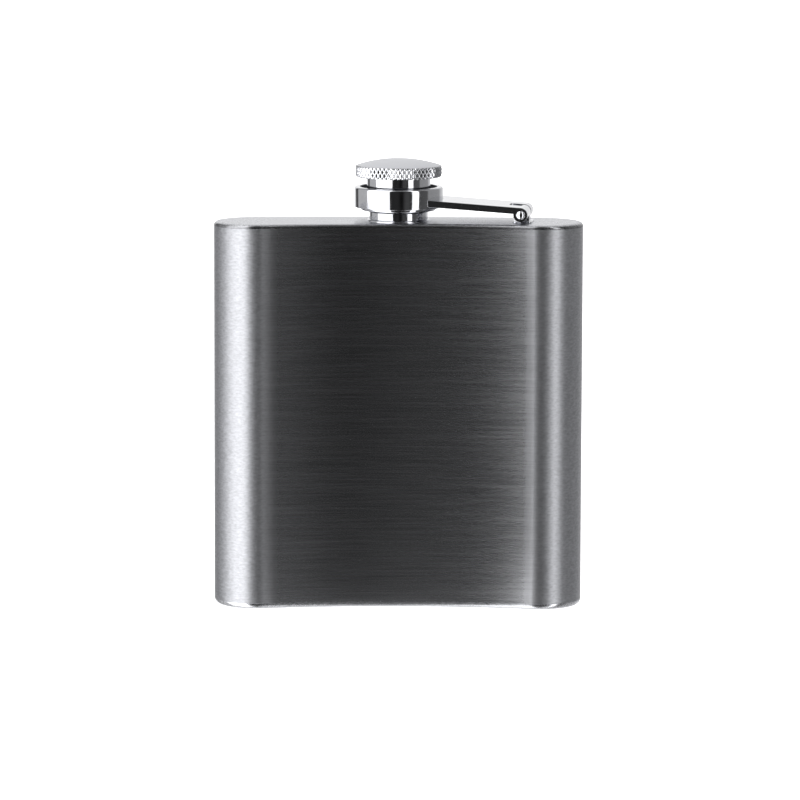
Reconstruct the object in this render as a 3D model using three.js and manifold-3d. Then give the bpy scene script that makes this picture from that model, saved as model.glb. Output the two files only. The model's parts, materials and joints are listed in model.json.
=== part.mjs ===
// Hip flask with a captive screw cap, made of separate sheet-metal and turned pieces.
// Millimetres, +Z up. The origin is the middle of the base, on the surface the flask stands on.
// -Y is the hollow side that lies against the hip. +X is the side that carries the hinge.

import * as THREE from 'three';
import { mergeVertices } from 'three/addons/utils/BufferGeometryUtils.js';
import Module from 'manifold-3d';

const wasm = await Module();
wasm.setup();

// ---- Driving dimensions ----------------------------------------------------------------

// Body: a kidney-shaped tube between two pressed end plates
const bodyWidth = 94;
const bodyDepth = 23;            // lips of the hollow side to the crown of the back
const bodyHeight = 98.5;
const frontHollow = 3.5;         // how far the hollow side curves in at its middle
const backBulge = 1.5;           // how far the back stands out past the rounded sides
const sheetWall = 0.5;
const plateWall = 0.6;
const topEdgeRadius = 1.0;
const bottomEdgeRadius = 1.5;

// Neck: a turned spout whose spigot goes down through the top plate
const neckBoreRadius = 5.25;
const neckWall = 1.05;           // bore to the outside of the thread
const neckSpigotStep = 0.1;      // spigot's radius below the thread's
const neckSpigotDepth = 1.2;
const neckShoulderStep = 1.2;    // shoulder's radius above the thread's
const neckChamfer = 0.4;
const baseRingWidth = 0.5;
const baseRingHeight = 0.5;

// Cap: a knurled head on a sleeve, with a flange that keeps it in the collar
const sleeveBottom = 2.7;        // above the top plate, with the cap screwed down
const sleeveWall = 0.75;
const flangeWidth = 1.45;
const flangeHeight = 1.2;
const headLift = 2.55;           // head above the collar
const headOverhang = 2.9;        // head's radius beyond the sleeve's
const headRimHeight = 2.85;
const headDomeHeight = 1.7;
const headRimChamfer = 0.4;
const headSocketDepth = 1.15;
const sealThickness = 1.3;
const threadPitch = 1.5;
const threadTurns = 2;

// Collar: the ring that the cap turns in, with a retaining washer in its bore
const collarBottom = 3.5;        // above the top plate
const collarWall = 1.6;
const collarLip = 0.8;           // collar's top above the washer
const collarEdgeRadius = 0.5;
const washerHeight = 0.9;

// Arm: a strap from the collar to two knuckles on the hinge pin
const armWidth = 15.5;
const armThickness = 1.7;
const armRise = 2.2;             // its top above the bottom of the collar
const knuckleWall = 0.85;
const slotWidth = 4.5;
const slotClearance = 1.65;      // closed end of the slot to the lug
const pinRadius = 1.0;
const pinDome = 0.4;
const hingeFromSide = 15.3;      // pin to the end of the body
const hingeInset = 1.55;         // knuckle's front end behind the lips of the hollow side

// Bracket: a lug between the knuckles, on a foot brazed to the top plate
const lugWall = 0.75;
const footLength = 4.8;
const footWidth = 7.2;
const footThickness = 0.45;
const footCornerRadius = 0.8;

// Clearances
const brazeGap = 0.3;            // spigot in the plate's hole, and shoulder below the cap
const weldGap = 0.05;            // between pieces that are joined side by side
const turnGap = 0.05;            // pin in the lug
const sideGap = 0.25;            // lug between the knuckles
const slideGap = 0.15;           // flange in the collar's bore
const sleeveGap = 0.3;           // sleeve in the washer
const liftGap = 0.1;             // seal above the neck's rim, flange below the washer
const footGap = 0.2;             // knuckles above the foot
const threadPlay = 1.1;          // neck in the sleeve: lets the cap swing off the neck
const socketGap = 0.1;           // sleeve in the head's socket, seal below its roof
const sealGap = 0.2;             // seal in the sleeve

// Fineness of round shapes
const outlineSteps = 20;
const roundSteps = 60;
const pinSteps = 24;
const edgeSteps = 3;
const domeSteps = 5;

// ---- Dimensions that follow ------------------------------------------------------------

const sideRadius = (bodyDepth - backBulge) / 2;
const sideCentreX = bodyWidth / 2 - sideRadius;
const sideCentreY = sideRadius - bodyDepth / 2;
const neckY = frontHollow / 2;                    // middle of the body's thickness at x = 0

// Radii, from the neck's bore outwards
const neckThreadRadius = neckBoreRadius + neckWall;
const neckSpigotRadius = neckThreadRadius - neckSpigotStep;
const neckShoulderRadius = neckThreadRadius + neckShoulderStep;
const sleeveBore = neckThreadRadius + threadPlay;
const sleeveRadius = sleeveBore + sleeveWall;
const flangeRadius = sleeveRadius + flangeWidth;
const collarBore = flangeRadius + slideGap;
const collarRadius = collarBore + collarWall;
const headRadius = sleeveRadius + headOverhang;

// Heights above the top plate, with the cap screwed down
const capTravel = threadPitch * threadTurns;
const flangeTop = sleeveBottom + flangeHeight;
const washerBottom = flangeTop + capTravel + liftGap;
const collarTop = washerBottom + washerHeight + collarLip;
const headBottom = collarTop + headLift;
const headSocketRoof = headBottom + headSocketDepth;
const sealBottom = headSocketRoof - socketGap - sealThickness;

// Hinge
const knuckleRadius = pinRadius + knuckleWall;
const lugRadius = pinRadius + lugWall;
const slotLength = lugRadius + slotClearance;      // from the pin's axis to the closed end
const pinHeight = footThickness + footGap + knuckleRadius;
const armTopAtCollar = collarBottom + armRise;
const pinX = bodyWidth / 2 - hingeFromSide;
const pinY = -bodyDepth / 2 + hingeInset + armWidth / 2;
const armReach = Math.hypot(pinX, pinY - neckY);
const armYaw = Math.atan2(pinY - neckY, pinX);

// ---- Materials -------------------------------------------------------------------------

const brushedSteel = () => new THREE.MeshStandardMaterial({ color: 0x9a9c9e, roughness: 0.38, metalness: 1 });
const polishedSteel = () => new THREE.MeshStandardMaterial({ color: 0xd4d6d8, roughness: 0.08, metalness: 1 });
const satinSteel = () => new THREE.MeshStandardMaterial({ color: 0xc9cacc, roughness: 0.3, metalness: 1 });
const sealPlastic = () => new THREE.MeshStandardMaterial({ color: 0xe6e4dc, roughness: 0.6, metalness: 0 });

// ---- Helpers ---------------------------------------------------------------------------

function piece(name, geometry, material) {
  const mesh = new THREE.Mesh(geometry, material);
  mesh.name = name;
  return mesh;
}

function toSolid(geometry) {
  const bare = geometry.clone();
  bare.deleteAttribute('normal');
  bare.deleteAttribute('uv');
  const merged = mergeVertices(bare);
  return new wasm.Manifold(new wasm.Mesh({
    numProp: 3,
    vertProperties: new Float32Array(merged.attributes.position.array),
    triVerts: new Uint32Array(merged.index.array),
  }));
}

function toGeometry(solid) {
  const mesh = solid.getMesh();
  const geometry = new THREE.BufferGeometry();
  geometry.setAttribute('position', new THREE.BufferAttribute(mesh.vertProperties, 3));
  geometry.setIndex(new THREE.BufferAttribute(mesh.triVerts, 1));
  geometry.computeVertexNormals();
  return geometry;
}

// Points along an arc, as [x, y]. The last point is left to whatever follows.
function arc(centreX, centreY, radius, from, to, steps) {
  const points = [];
  for (let step = 0; step < steps; step += 1) {
    const angle = from + (to - from) * step / steps;
    points.push([centreX + radius * Math.cos(angle), centreY + radius * Math.sin(angle)]);
  }
  return points;
}

function shapeOf(points) {
  return new THREE.Shape(points.map(([x, y]) => new THREE.Vector2(x, y)));
}

// A closed [radius, height] profile turned about the Z axis: outside upwards, inside downwards.
function turnedRing(profile) {
  return turned([...profile, profile[0]]);
}

function turned(profile, steps = roundSteps) {
  const points = profile.map(([radius, height]) => new THREE.Vector2(radius, height));
  return new THREE.LatheGeometry(points, steps).rotateX(Math.PI / 2);
}

// Stands a side view, drawn as x and height, up in the XZ plane with the given width along Y.
function standingExtrusion(shape, width, curveSegments) {
  const geometry = new THREE.ExtrudeGeometry(shape, { depth: width, bevelEnabled: false, curveSegments });
  return geometry.translate(0, 0, -width / 2).rotateX(Math.PI / 2);
}

// ---- Body ------------------------------------------------------------------------------

// The kidney in plan, moved inwards by `inset`: four arcs, each tangent to the next.
function kidneyOutline(inset) {
  const frontDrop = (sideCentreX ** 2 - frontHollow ** 2) / (2 * frontHollow);
  const frontRadius = frontDrop + frontHollow - sideRadius;
  const frontAngle = Math.atan2(sideCentreX, frontDrop);
  const backRadius = sideRadius + (sideCentreX ** 2 + backBulge ** 2) / (2 * backBulge);
  const backCentreY = bodyDepth / 2 - backRadius;
  const backAngle = Math.atan2(sideCentreX, sideCentreY - backCentreY);
  const quarter = Math.PI / 2;
  return [
    ...arc(sideCentreX, sideCentreY, sideRadius - inset, -quarter - frontAngle, quarter - backAngle, outlineSteps),
    ...arc(0, backCentreY, backRadius - inset, quarter - backAngle, quarter + backAngle, outlineSteps),
    ...arc(-sideCentreX, sideCentreY, sideRadius - inset, quarter + backAngle, 3 * quarter + frontAngle, outlineSteps),
    ...arc(0, sideCentreY - frontDrop, frontRadius + inset, quarter + frontAngle, quarter - frontAngle, outlineSteps),
  ];
}

function bodyWrap() {
  const wall = shapeOf(kidneyOutline(0));
  wall.holes.push(shapeOf(kidneyOutline(sheetWall)));
  const height = bodyHeight - topEdgeRadius - bottomEdgeRadius;
  const geometry = new THREE.ExtrudeGeometry(wall, { depth: height, bevelEnabled: false });
  return geometry.translate(0, 0, bottomEdgeRadius);
}

// A shallow pan whose flat face is at `flatZ` and whose rim points along `inward` (-1 is down).
function endPlate(edgeRadius, flatZ, inward) {
  const blankDepth = 1;
  const blank = new THREE.ExtrudeGeometry(shapeOf(kidneyOutline(0)), {
    depth: blankDepth,
    bevelThickness: edgeRadius,
    bevelSize: edgeRadius,
    bevelOffset: -edgeRadius,
    bevelSegments: edgeSteps,
  });
  const seamZ = flatZ + inward * edgeRadius;
  blank.translate(0, 0, inward < 0 ? seamZ - blankDepth : seamZ);

  const spareDepth = 4 * (blankDepth + edgeRadius);
  const spare = new THREE.BoxGeometry(2 * bodyWidth, 2 * bodyDepth, spareDepth);
  spare.translate(0, 0, seamZ + inward * spareDepth / 2);

  const recessInset = (plateWall + edgeRadius) / 2;
  const recessFloorZ = flatZ + inward * plateWall;
  const recess = new THREE.ExtrudeGeometry(shapeOf(kidneyOutline(recessInset)), {
    depth: spareDepth,
    bevelEnabled: false,
  });
  recess.translate(0, 0, inward < 0 ? recessFloorZ - spareDepth : recessFloorZ);
  return toSolid(blank).subtract(toSolid(spare)).subtract(toSolid(recess));
}

function topPlate() {
  const holeDepth = 4 * plateWall;
  const hole = new THREE.CylinderGeometry(
    neckSpigotRadius + brazeGap, neckSpigotRadius + brazeGap, holeDepth, roundSteps);
  hole.rotateX(Math.PI / 2).translate(0, neckY, bodyHeight);
  return toGeometry(endPlate(topEdgeRadius, bodyHeight, -1).subtract(toSolid(hole)));
}

function bottomPlate() {
  return toGeometry(endPlate(bottomEdgeRadius, 0, 1));
}

// ---- Neck ------------------------------------------------------------------------------

function neck() {
  const shoulderTop = sleeveBottom - brazeGap;
  const rim = sealBottom - liftGap;
  return turnedRing([
    [neckBoreRadius, -neckSpigotDepth],
    [neckSpigotRadius, -neckSpigotDepth],
    [neckSpigotRadius, 0],
    [neckShoulderRadius, 0],
    [neckShoulderRadius, shoulderTop - neckChamfer],
    [neckShoulderRadius - neckChamfer, shoulderTop],
    [neckThreadRadius, shoulderTop],
    [neckThreadRadius, rim - neckChamfer],
    [neckThreadRadius - neckChamfer, rim],
    [neckBoreRadius, rim],
  ]);
}

// The thin bead around the foot of the neck
function neckBaseRing() {
  const inside = neckShoulderRadius + weldGap;
  const outside = neckShoulderRadius + baseRingWidth;
  return turnedRing([
    [inside, 0],
    [outside, 0],
    [outside, baseRingHeight / 2],
    [outside - baseRingWidth / 2, baseRingHeight],
    [inside, baseRingHeight],
  ]);
}

// ---- Cap -------------------------------------------------------------------------------

function capHead() {
  const socketRadius = sleeveRadius + socketGap;
  const rimTop = headBottom + headRimHeight;
  const domeEdge = headRadius - headRimChamfer;
  const domeRadius = (domeEdge ** 2 + headDomeHeight ** 2) / (2 * headDomeHeight);
  const domeCentre = rimTop + headDomeHeight - domeRadius;
  const domeStart = Math.acos(domeEdge / domeRadius);
  return turned([
    [0, headSocketRoof],
    [socketRadius, headSocketRoof],
    [socketRadius, headBottom],
    [headRadius - headRimChamfer, headBottom],
    [headRadius, headBottom + headRimChamfer],
    [headRadius, rimTop - headRimChamfer],
    ...arc(0, domeCentre, domeRadius, domeStart, Math.PI / 2, domeSteps),
    [0, rimTop + headDomeHeight],
  ]);
}

function capSleeve() {
  const edge = flangeHeight / 6;
  return turnedRing([
    [sleeveBore, sleeveBottom],
    [flangeRadius - edge, sleeveBottom],
    [flangeRadius, sleeveBottom + edge],
    [flangeRadius, flangeTop - edge],
    [flangeRadius - edge, flangeTop],
    [sleeveRadius, flangeTop],
    [sleeveRadius, headSocketRoof],
    [sleeveBore, headSocketRoof],
  ]);
}

function sealDisc() {
  const sealRadius = sleeveBore - sealGap;
  return turned([
    [0, sealBottom],
    [sealRadius, sealBottom],
    [sealRadius, sealBottom + sealThickness],
    [0, sealBottom + sealThickness],
  ]);
}

// ---- Collar ----------------------------------------------------------------------------

function collar() {
  return turnedRing([
    [collarBore, collarBottom],
    [collarRadius, collarBottom],
    ...arc(collarRadius - collarEdgeRadius, collarTop - collarEdgeRadius, collarEdgeRadius,
      0, Math.PI / 2, edgeSteps),
    [collarRadius - collarEdgeRadius, collarTop],
    [collarBore, collarTop],
  ]);
}

function collarWasher() {
  const inside = sleeveRadius + sleeveGap;
  const outside = collarBore - weldGap;
  return turnedRing([
    [inside, washerBottom],
    [outside, washerBottom],
    [outside, washerBottom + washerHeight],
    [inside, washerBottom + washerHeight],
  ]);
}

// ---- Hinge -----------------------------------------------------------------------------
// These are drawn about the pin: X points away from the neck, Y runs along the pin.

function arm() {
  const underside = knuckleRadius - armThickness;      // above the pin's axis
  const knuckleStart = Math.PI - Math.asin(underside / knuckleRadius);
  const side = shapeOf([
    [-armReach, underside],
    ...arc(0, 0, knuckleRadius, knuckleStart, 2.5 * Math.PI, pinSteps),
    [0, knuckleRadius],
    [-armReach, knuckleRadius],
  ]);
  side.holes.push(shapeOf(arc(0, 0, pinRadius + weldGap, 0, 2 * Math.PI, pinSteps)));
  const strap = standingExtrusion(side, armWidth);

  // The strap's top drops from its height at the collar to a tangent of the knuckles.
  const span = armReach - collarRadius;
  const rise = armTopAtCollar - pinHeight;
  const slope = Math.atan2(rise, span) - Math.asin(knuckleRadius / Math.hypot(rise, span));
  strap.rotateY(slope);

  const slotReach = slotLength + 2 * knuckleRadius;
  const slot = new THREE.BoxGeometry(slotReach, slotWidth, 4 * knuckleRadius);
  slot.translate(slotReach / 2 - slotLength, 0, 0);

  const seat = new THREE.CylinderGeometry(
    collarRadius + weldGap, collarRadius + weldGap, 4 * armTopAtCollar, roundSteps);
  seat.rotateX(Math.PI / 2).translate(-armReach, 0, 0);
  return toGeometry(toSolid(strap).subtract(toSolid(slot)).subtract(toSolid(seat)));
}

function hingePin() {
  const shank = armWidth / 2;
  const domeRadius = (pinRadius ** 2 + pinDome ** 2) / (2 * pinDome);
  const domeAngle = Math.acos(pinRadius / domeRadius);
  const domeCentre = shank + pinDome - domeRadius;
  const profile = [
    [0, -shank - pinDome],
    ...arc(0, -domeCentre, domeRadius, -Math.PI / 2, -domeAngle, edgeSteps).slice(1),
    [pinRadius, -shank],
    ...arc(0, domeCentre, domeRadius, domeAngle, Math.PI / 2, edgeSteps),
    [0, shank + pinDome],
  ];
  return turned(profile, pinSteps).rotateX(-Math.PI / 2);
}

function hingeBracket() {
  const lugWidth = slotWidth - 2 * sideGap;
  const lugSide = shapeOf([
    [-lugRadius, -pinHeight],
    [lugRadius, -pinHeight],
    ...arc(0, 0, lugRadius, 0, Math.PI, pinSteps / 2),
    [-lugRadius, 0],
  ]);
  lugSide.holes.push(shapeOf(arc(0, 0, pinRadius + turnGap, 0, 2 * Math.PI, pinSteps)));
  const lug = standingExtrusion(lugSide, lugWidth);

  const cornerX = footLength / 2 - footCornerRadius;
  const cornerY = footWidth / 2 - footCornerRadius;
  const quarter = Math.PI / 2;
  const corners = [[cornerX, cornerY], [-cornerX, cornerY], [-cornerX, -cornerY], [cornerX, -cornerY]];
  const footPoints = corners.flatMap(([x, y], index) => [
    ...arc(x, y, footCornerRadius, index * quarter, (index + 1) * quarter, edgeSteps),
    [x + footCornerRadius * Math.round(Math.cos((index + 1) * quarter)),
      y + footCornerRadius * Math.round(Math.sin((index + 1) * quarter))],
  ]);
  const foot = new THREE.ExtrudeGeometry(shapeOf(footPoints), { depth: footThickness, bevelEnabled: false });
  foot.translate(0, 0, -pinHeight);
  return toGeometry(toSolid(lug).add(toSolid(foot)));
}

// ---- Assembly --------------------------------------------------------------------------

const flask = new THREE.Group();
flask.add(piece('body_wrap', bodyWrap(), brushedSteel()));
flask.add(piece('top_plate', topPlate(), brushedSteel()));
flask.add(piece('bottom_plate', bottomPlate(), brushedSteel()));

const neckGroup = new THREE.Group();
neckGroup.position.set(0, neckY, bodyHeight);
neckGroup.add(piece('neck', neck(), polishedSteel()));
neckGroup.add(piece('neck_base_ring', neckBaseRing(), polishedSteel()));
neckGroup.add(piece('collar', collar(), polishedSteel()));
neckGroup.add(piece('collar_washer', collarWasher(), polishedSteel()));
neckGroup.add(piece('cap_sleeve', capSleeve(), polishedSteel()));
neckGroup.add(piece('cap_head', capHead(), satinSteel()));
neckGroup.add(piece('seal_disc', sealDisc(), sealPlastic()));
flask.add(neckGroup);

const hingeGroup = new THREE.Group();
hingeGroup.position.set(pinX, pinY, bodyHeight + pinHeight);
hingeGroup.rotation.z = armYaw;
hingeGroup.add(piece('arm', arm(), polishedSteel()));
hingeGroup.add(piece('hinge_pin', hingePin(), polishedSteel()));
hingeGroup.add(piece('hinge_bracket', hingeBracket(), polishedSteel()));
flask.add(hingeGroup);

export default flask;
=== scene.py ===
# %% [markdown]
# # A pocket hip flask with a captive cap
# The flask is stainless steel throughout: a flat, kidney-shaped body of brushed sheet, a polished turned neck,
# and a knurled screw cap that stays in a collar on a hinged arm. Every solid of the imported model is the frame
# here. Each one is made again as a finer mesh in the same place, and given the finish that the real piece has.

# %% Load the frame
import json
import math

import bmesh
import bpy
from mathutils import Matrix, Vector


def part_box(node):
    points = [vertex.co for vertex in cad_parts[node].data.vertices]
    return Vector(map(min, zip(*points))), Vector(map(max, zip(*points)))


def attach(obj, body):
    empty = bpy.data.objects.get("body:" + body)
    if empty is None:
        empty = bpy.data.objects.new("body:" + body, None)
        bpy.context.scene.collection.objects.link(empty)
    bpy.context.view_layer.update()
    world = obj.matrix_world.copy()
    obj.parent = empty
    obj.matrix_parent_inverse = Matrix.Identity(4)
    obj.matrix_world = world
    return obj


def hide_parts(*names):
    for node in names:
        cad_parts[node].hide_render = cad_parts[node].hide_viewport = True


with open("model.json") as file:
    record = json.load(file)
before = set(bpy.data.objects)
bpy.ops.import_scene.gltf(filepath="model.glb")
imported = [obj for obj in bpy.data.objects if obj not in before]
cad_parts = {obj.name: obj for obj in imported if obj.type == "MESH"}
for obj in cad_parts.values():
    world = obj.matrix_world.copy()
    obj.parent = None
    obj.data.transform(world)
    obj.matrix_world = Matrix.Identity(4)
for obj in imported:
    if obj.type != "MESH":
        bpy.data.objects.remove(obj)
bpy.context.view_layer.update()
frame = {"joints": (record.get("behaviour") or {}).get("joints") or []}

# %% [markdown]
# ## Sizes
# Places, heights and outer radii could be typed in again, but they come from the frame's own boxes, so that each
# finer piece lands exactly where its solid is. Only what a box can't tell, such as the hollow of the front, a
# bore or the fineness of a knurl, is a value here. Blender works in metres, so a length in millimetres is written
# as a number times `MM`.

# %% Read the places from the frame
MM = 0.001

wrap_low, wrap_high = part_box("body_wrap")
plate_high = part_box("top_plate")[1]
base_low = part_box("bottom_plate")[0]
neck_low, neck_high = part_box("neck")
ring_low, ring_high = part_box("neck_base_ring")
collar_low, collar_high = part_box("collar")
washer_low, washer_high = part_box("collar_washer")
sleeve_low, sleeve_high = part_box("cap_sleeve")
head_low, head_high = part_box("cap_head")
seal_low, seal_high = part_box("seal_disc")

neck_axis = (collar_low + collar_high) / 2
plate_top = plate_high.z
hinge = next(joint for joint in frame["joints"] if joint["name"] == "arm_hinge")
hinge_point = Vector(hinge["pos_m"])
hinge_axis = Vector(hinge["axis"]).normalized()
print("top plate at", round(plate_top / MM, 2), "mm, hinge pin at", [round(v / MM, 2) for v in hinge_point])

# %% [markdown]
# ## The camera
# A wide lens close by would make the body's sides lean. A long lens from well over a metre away, a little above
# the flask, keeps them nearly parallel and shows the top plate as a narrow band. It looks at the hollow side, and
# it is rolled by a sixth of a degree, as a camera on a tripod often is.

# %% Camera
CAMERA_DISTANCE = 1300 * MM
CAMERA_HEIGHT = 232 * MM
AIM_HEIGHT = 52.2 * MM
AIM_ASIDE = 0.5 * MM
LENS = 230.8
SENSOR_WIDTH = 36.0
ROLL = math.radians(0.17)

camera_data = bpy.data.cameras.new("camera")
camera_data.lens = LENS
camera_data.sensor_width = SENSOR_WIDTH
camera_data.clip_start = 10 * MM
camera = bpy.data.objects.new("camera", camera_data)
bpy.context.scene.collection.objects.link(camera)
aim = Vector((AIM_ASIDE, neck_axis.y, AIM_HEIGHT))
camera.location = Vector((aim.x, -CAMERA_DISTANCE, CAMERA_HEIGHT))
look = (aim - camera.location).to_track_quat("-Z", "Y").to_matrix()
camera.rotation_euler = (look @ Matrix.Rotation(ROLL, 3, "Z")).to_euler()
bpy.context.scene.camera = camera
print("camera", [round(v / MM) for v in camera.location], "mm")

# %% [markdown]
# ## Making meshes
# Nearly every piece here is either pressed to the kidney outline or turned on a lathe. Both are a stack of rings
# joined by four-sided faces, so one function makes them all: it takes the rings from first to last, and either
# joins the last to the first, as a tube wall needs, or closes both ends with a face.

# %% Mesh helpers
SHARP_ANGLE = math.radians(32)
SAME_POINT = 0.0005 * MM


def mesh_object(name, bm, sharp_angle=SHARP_ANGLE):
    """Turns a bmesh into a smooth-shaded object whose faces point outwards."""
    bmesh.ops.remove_doubles(bm, verts=bm.verts, dist=SAME_POINT)
    bmesh.ops.recalc_face_normals(bm, faces=bm.faces)
    mesh = bpy.data.meshes.new(name)
    bm.to_mesh(mesh)
    bm.free()
    mesh.shade_smooth()
    mesh.set_sharp_from_angle(angle=sharp_angle)
    piece = bpy.data.objects.new(name, mesh)
    bpy.context.scene.collection.objects.link(piece)
    print(name, "has", len(mesh.polygons), "faces")
    return piece


def ring_stack(name, rings, closed, sharp_angle=SHARP_ANGLE):
    """A mesh through rings of points, all with as many points, from the first ring to the last."""
    bm = bmesh.new()
    loops = [[bm.verts.new(point) for point in ring] for ring in rings]
    pairs = list(zip(loops, loops[1:]))
    if closed:
        pairs.append((loops[-1], loops[0]))
    else:
        bm.faces.new(loops[0])
        bm.faces.new(loops[-1])
    count = len(rings[0])
    for lower, upper in pairs:
        for i in range(count):
            j = (i + 1) % count
            bm.faces.new((lower[i], lower[j], upper[j], upper[i]))
    return mesh_object(name, bm, sharp_angle)


def arc(centre_x, centre_y, radius, start, end, steps):
    """Points along an arc, both ends included."""
    angles = [start + (end - start) * step / steps for step in range(steps + 1)]
    return [(centre_x + radius * math.cos(a), centre_y + radius * math.sin(a)) for a in angles]


# %% [markdown]
# ## The body's outline
# A hip flask is bent to lie against the hip. In plan it is four arcs, each tangent to the next: a small one round
# each side, a long hollow one along the front and a long bulging one along the back. It could be drawn as a curve
# with handles, but arcs keep the bends true. Moving an arc inwards only changes its radius, so the same function
# draws the outside, the inside and every step of a rounded edge. The half sizes are the real ones, because a box
# round a faceted solid comes out a few microns short.

# %% The kidney outline
FRONT_HOLLOW = 3.5 * MM
BASE_HOLLOW = 3.75 * MM
BACK_BULGE = 1.5 * MM
SIDE_STEPS = 56
LONG_STEPS = 44
QUARTER = math.pi / 2

half_width = 47 * MM
half_depth = 11.5 * MM
side_radius = half_depth - BACK_BULGE / 2
side_x = half_width - side_radius
side_y = side_radius - half_depth
back_radius = side_radius + (side_x**2 + BACK_BULGE**2) / (2 * BACK_BULGE)
back_y = half_depth - back_radius
back_angle = math.atan2(side_x, side_y - back_y)


def kidney(inset, z, hollow=FRONT_HOLLOW):
    """The body's outline, moved inwards by `inset`, at one height."""
    front_drop = (side_x**2 - hollow**2) / (2 * hollow)
    front_radius = front_drop + hollow - side_radius
    front_angle = math.atan2(side_x, front_drop)
    side = side_radius - inset
    points = arc(side_x, side_y, side, -QUARTER - front_angle, QUARTER - back_angle, SIDE_STEPS)[:-1]
    points += arc(0, back_y, back_radius - inset, QUARTER - back_angle, QUARTER + back_angle, LONG_STEPS)[:-1]
    points += arc(-side_x, side_y, side, QUARTER + back_angle, 3 * QUARTER + front_angle, SIDE_STEPS)[:-1]
    points += arc(0, side_y - front_drop, front_radius + inset,
                  QUARTER + front_angle, QUARTER - front_angle, LONG_STEPS)[:-1]
    return [Vector((x, y, z)) for x, y in points]


print("radii: side", round(side_radius / MM, 2), "back", round(back_radius / MM, 1), "mm")

# %% [markdown]
# ## Body wrap
# The front, back and sides are one strip of sheet steel, bent round and welded. A solidified surface would do,
# but a stack of rings with an outside and an inside gives full control of the rims. They are eased by a few
# hundredths of a millimetre where the end plates meet them: two eased edges side by side are what makes a
# dressed weld show as a hairline. Between the plates nothing holds the hollow, so the sheet springs back by a
# fraction of a millimetre. That is too little to see in outline, but it bends the reflections near both ends.

# %% Body wrap
SHEET = 0.5 * MM
SEAM_EASE = 0.05 * MM
RIM_GUARD = 4 * SEAM_EASE
SPRING_BACK = 0.25 * MM
SPRING_REACH = 26 * MM
WALL_ROWS = 40


def sprung_hollow(z):
    """The front's hollow at one height: full at the plates, less between them."""
    held, from_end = min((FRONT_HOLLOW, wrap_high.z - z), (BASE_HOLLOW, z - wrap_low.z), key=lambda end: end[1])
    free = min(1, max(0, from_end / SPRING_REACH))
    return held + (FRONT_HOLLOW - SPRING_BACK - held) * (1 - (1 - free)**2)


wall_low, wall_high = wrap_low.z + RIM_GUARD, wrap_high.z - RIM_GUARD
wall = [wall_low + (wall_high - wall_low) * row / WALL_ROWS for row in range(WALL_ROWS + 1)]
wall_profile = [(0, wrap_low.z + SEAM_EASE)]
wall_profile += [(0, z) for z in wall]
wall_profile += [(0, wrap_high.z - SEAM_EASE), (SEAM_EASE, wrap_high.z), (SHEET, wrap_high.z)]
wall_profile += [(SHEET, z) for z in reversed(wall)]
wall_profile += [(SHEET, wrap_low.z), (SEAM_EASE, wrap_low.z)]
body_wrap = ring_stack(
    "brushed_wrap", [kidney(inset, z, sprung_hollow(z)) for inset, z in wall_profile], closed=True)

# %% [markdown]
# ## End plates
# Each end is a pressed plate with a rounded edge. A bevel on a slab would round it too, but the groove that the
# press leaves where the flat meets the rounding has to be drawn, so the whole edge is a profile of insets and
# heights. The flat face gets one extra ring just inside that groove, which keeps the shading of the rounding from
# bleeding across the flat. The top plate has a hole for the neck's spigot.

# %% End plates
PLATE = 0.6 * MM
GROOVE_WIDTH = 0.16 * MM
GROOVE_DEPTH = 0.07 * MM
EDGE_STEPS = 14


def plate_profile(seam_z, flat_z):
    """(inset, height) from the recess on the hidden side, round the edge, to the flat face."""
    edge = abs(flat_z - seam_z)
    way = 1 if flat_z > seam_z else -1
    recess_inset = (PLATE + edge) / 2
    recess_z = flat_z - way * PLATE
    rounding = [(edge - edge * math.cos(a), seam_z + way * edge * math.sin(a))
                for a in (QUARTER * step / EDGE_STEPS for step in range(EDGE_STEPS + 1))]
    rounding[0] = (0, seam_z + way * SEAM_EASE)
    return [
        (recess_inset, recess_z),
        (recess_inset, seam_z),
        (SEAM_EASE, seam_z),
        *rounding,
        (edge + GROOVE_WIDTH / 2, flat_z - way * GROOVE_DEPTH),
        (edge + GROOVE_WIDTH, flat_z),
        (edge + 2 * GROOVE_WIDTH, flat_z),
    ]


def round_hole(rim, radius, z):
    """A circle about the neck with one point towards each point of a rim."""
    points = []
    for point in rim:
        way = Vector((point.x - neck_axis.x, point.y - neck_axis.y)).normalized() * radius
        points.append(Vector((neck_axis.x + way.x, neck_axis.y + way.y, z)))
    return points


SPIGOT_HOLE = 6.5 * MM

top_rings = [kidney(inset, z) for inset, z in plate_profile(wrap_high.z, plate_high.z)]
top_rings.append(round_hole(top_rings[-1], SPIGOT_HOLE, plate_high.z))
top_rings.append(round_hole(top_rings[0], SPIGOT_HOLE, plate_high.z - PLATE))
top_plate = ring_stack("pressed_top_plate", top_rings, closed=True)

bottom_rings = [kidney(inset, z, BASE_HOLLOW) for inset, z in plate_profile(wrap_low.z, base_low.z)]
bottom_plate = ring_stack("pressed_bottom_plate", bottom_rings, closed=False)

# %% [markdown]
# ## Turned pieces
# The neck, the cap and the collar all come off a lathe. Blender's Screw modifier turns a profile too, but it can't
# cut into what it turns. Here a profile of radius and height is turned about the neck's axis point by point, and
# each profile point says how much of a relief, such as a thread or a knurl, it takes, from 0 for none to 1.

# %% The lathe
def turned(name, profile, segments, closed, relief=None, sharp_angle=SHARP_ANGLE):
    """Turns (radius, height above the plate, share of relief) about the neck's axis."""
    rings = []
    for radius, height, share in profile:
        ring = []
        for i in range(segments):
            angle = 2 * math.pi * i / segments
            cut = share * relief(angle, height) if relief and share else 0
            reach = radius - cut
            ring.append(Vector((neck_axis.x + reach * math.cos(angle),
                                neck_axis.y + reach * math.sin(angle), plate_top + height)))
        rings.append(ring)
    return ring_stack(name, rings, closed, sharp_angle)


def plain(points):
    """A profile with no relief on it."""
    return [(radius, height, 0) for radius, height in points]


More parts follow.
